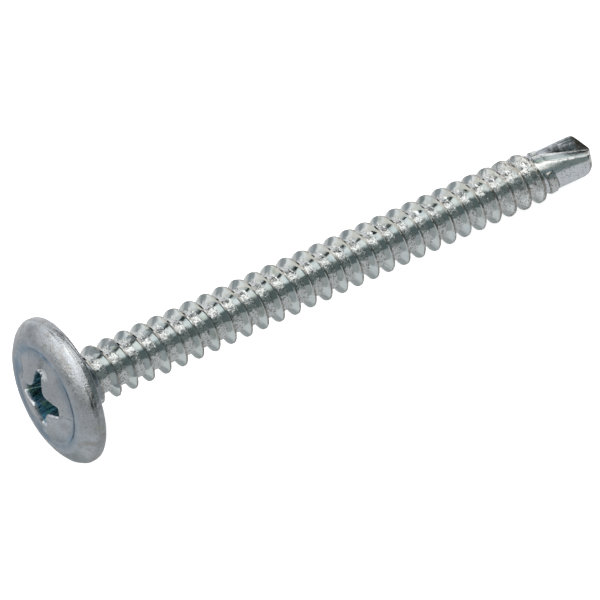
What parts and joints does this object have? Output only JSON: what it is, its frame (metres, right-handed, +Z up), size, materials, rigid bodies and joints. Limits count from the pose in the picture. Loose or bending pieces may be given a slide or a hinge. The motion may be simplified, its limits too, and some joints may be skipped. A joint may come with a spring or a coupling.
{
  "type": "self-drilling screw",
  "caption": "Wafer head self-drilling screw lying on its side: wide flat flange head with a cross recess, full-length coarse sheet metal thread and a fluted drill point.",
  "frame": {"origin": "on the floor under the middle of the box round the screw as it lies", "axes": "+Z up; the screw lies with its drill point towards +X and its axis in the XZ plane, leaning down to the point as it rests on the rim of its head and its last full thread crest"},
  "size_m": [0.0494, 0.011, 0.011],
  "materials": {
    "zinc_plated_steel": "bright zinc plating with a faint blue-green passivation, satin, nicked by tumbling"
  },
  "bodies": {
    "root": {"wafer_head_screw": "zinc_plated_steel"}
  },
  "joints": []
}
